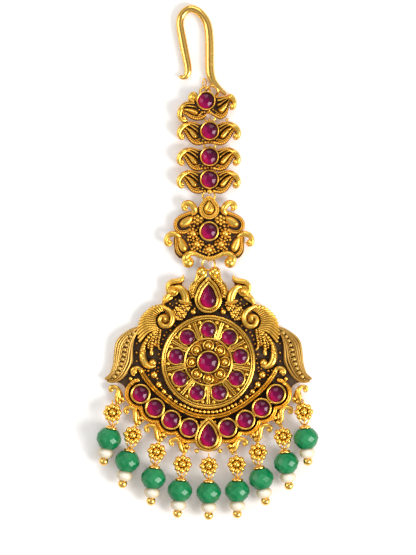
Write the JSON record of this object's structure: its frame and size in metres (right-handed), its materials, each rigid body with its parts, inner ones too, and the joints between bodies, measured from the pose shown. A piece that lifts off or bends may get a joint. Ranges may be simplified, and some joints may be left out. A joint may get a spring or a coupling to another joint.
{
  "type": "maang tikka",
  "caption": "Forehead jewel: a hair hook, a stem of jointed paisley links and a rosette, and a peacock pendant set with red stones and edged with green bead and pearl drops.",
  "frame": {"origin": "centre of the pendant's round medallion, on the flat back of the pendant", "axes": "+X to the right seen from the front, +Y up the stem to the hook, +Z out of the decorated face"},
  "size_m": [0.0553, 0.1289, 0.0063],
  "materials": {
    "antique_gold": "antique gold plating, darkened in the recesses",
    "polished_gold": "polished gold plating",
    "ruby": "polished red cabochon",
    "green_stone": "polished facets, translucent green",
    "pearl": "soft pearl lustre"
  },
  "bodies": {
    "root": {"hair_hook": "polished_gold", "link_1": "antique_gold", "link_2": "antique_gold", "link_3": "antique_gold", "link_4": "antique_gold", "rosette": "antique_gold", "pendant": "antique_gold", "ring_links_1_2": "antique_gold", "ring_links_2_3": "antique_gold", "ring_links_3_4": "antique_gold", "ring_link_rosette": "antique_gold", "ring_rosette_pendant": "antique_gold", "ruby_link_1": "ruby", "ruby_link_2": "ruby", "ruby_link_3": "ruby", "ruby_link_4": "ruby", "ruby_rosette": "ruby", "ruby_centre": "ruby", "rubies_medallion": "ruby", "rubies_crescent": "ruby", "ruby_upper_drop": "ruby", "ruby_lower_drop": "ruby", "flower_1": "antique_gold", "head_pin_1": "polished_gold", "green_bead_1": "green_stone", "pearl_1": "pearl", "flower_2": "antique_gold", "head_pin_2": "polished_gold", "green_bead_2": "green_stone", "pearl_2": "pearl", "flower_3": "antique_gold", "head_pin_3": "polished_gold", "green_bead_3": "green_stone", "pearl_3": "pearl", "flower_4": "antique_gold", "head_pin_4": "polished_gold", "green_bead_4": "green_stone", "pearl_4": "pearl", "flower_5": "antique_gold", "head_pin_5": "polished_gold", "green_bead_5": "green_stone", "pearl_5": "pearl", "flower_6": "antique_gold", "head_pin_6": "polished_gold", "green_bead_6": "green_stone", "pearl_6": "pearl", "flower_7": "antique_gold", "head_pin_7": "polished_gold", "green_bead_7": "green_stone", "pearl_7": "pearl", "flower_8": "antique_gold", "head_pin_8": "polished_gold", "green_bead_8": "green_stone", "pearl_8": "pearl", "flower_9": "antique_gold", "head_pin_9": "polished_gold", "green_bead_9": "green_stone", "pearl_9": "pearl"}
  },
  "joints": []
}
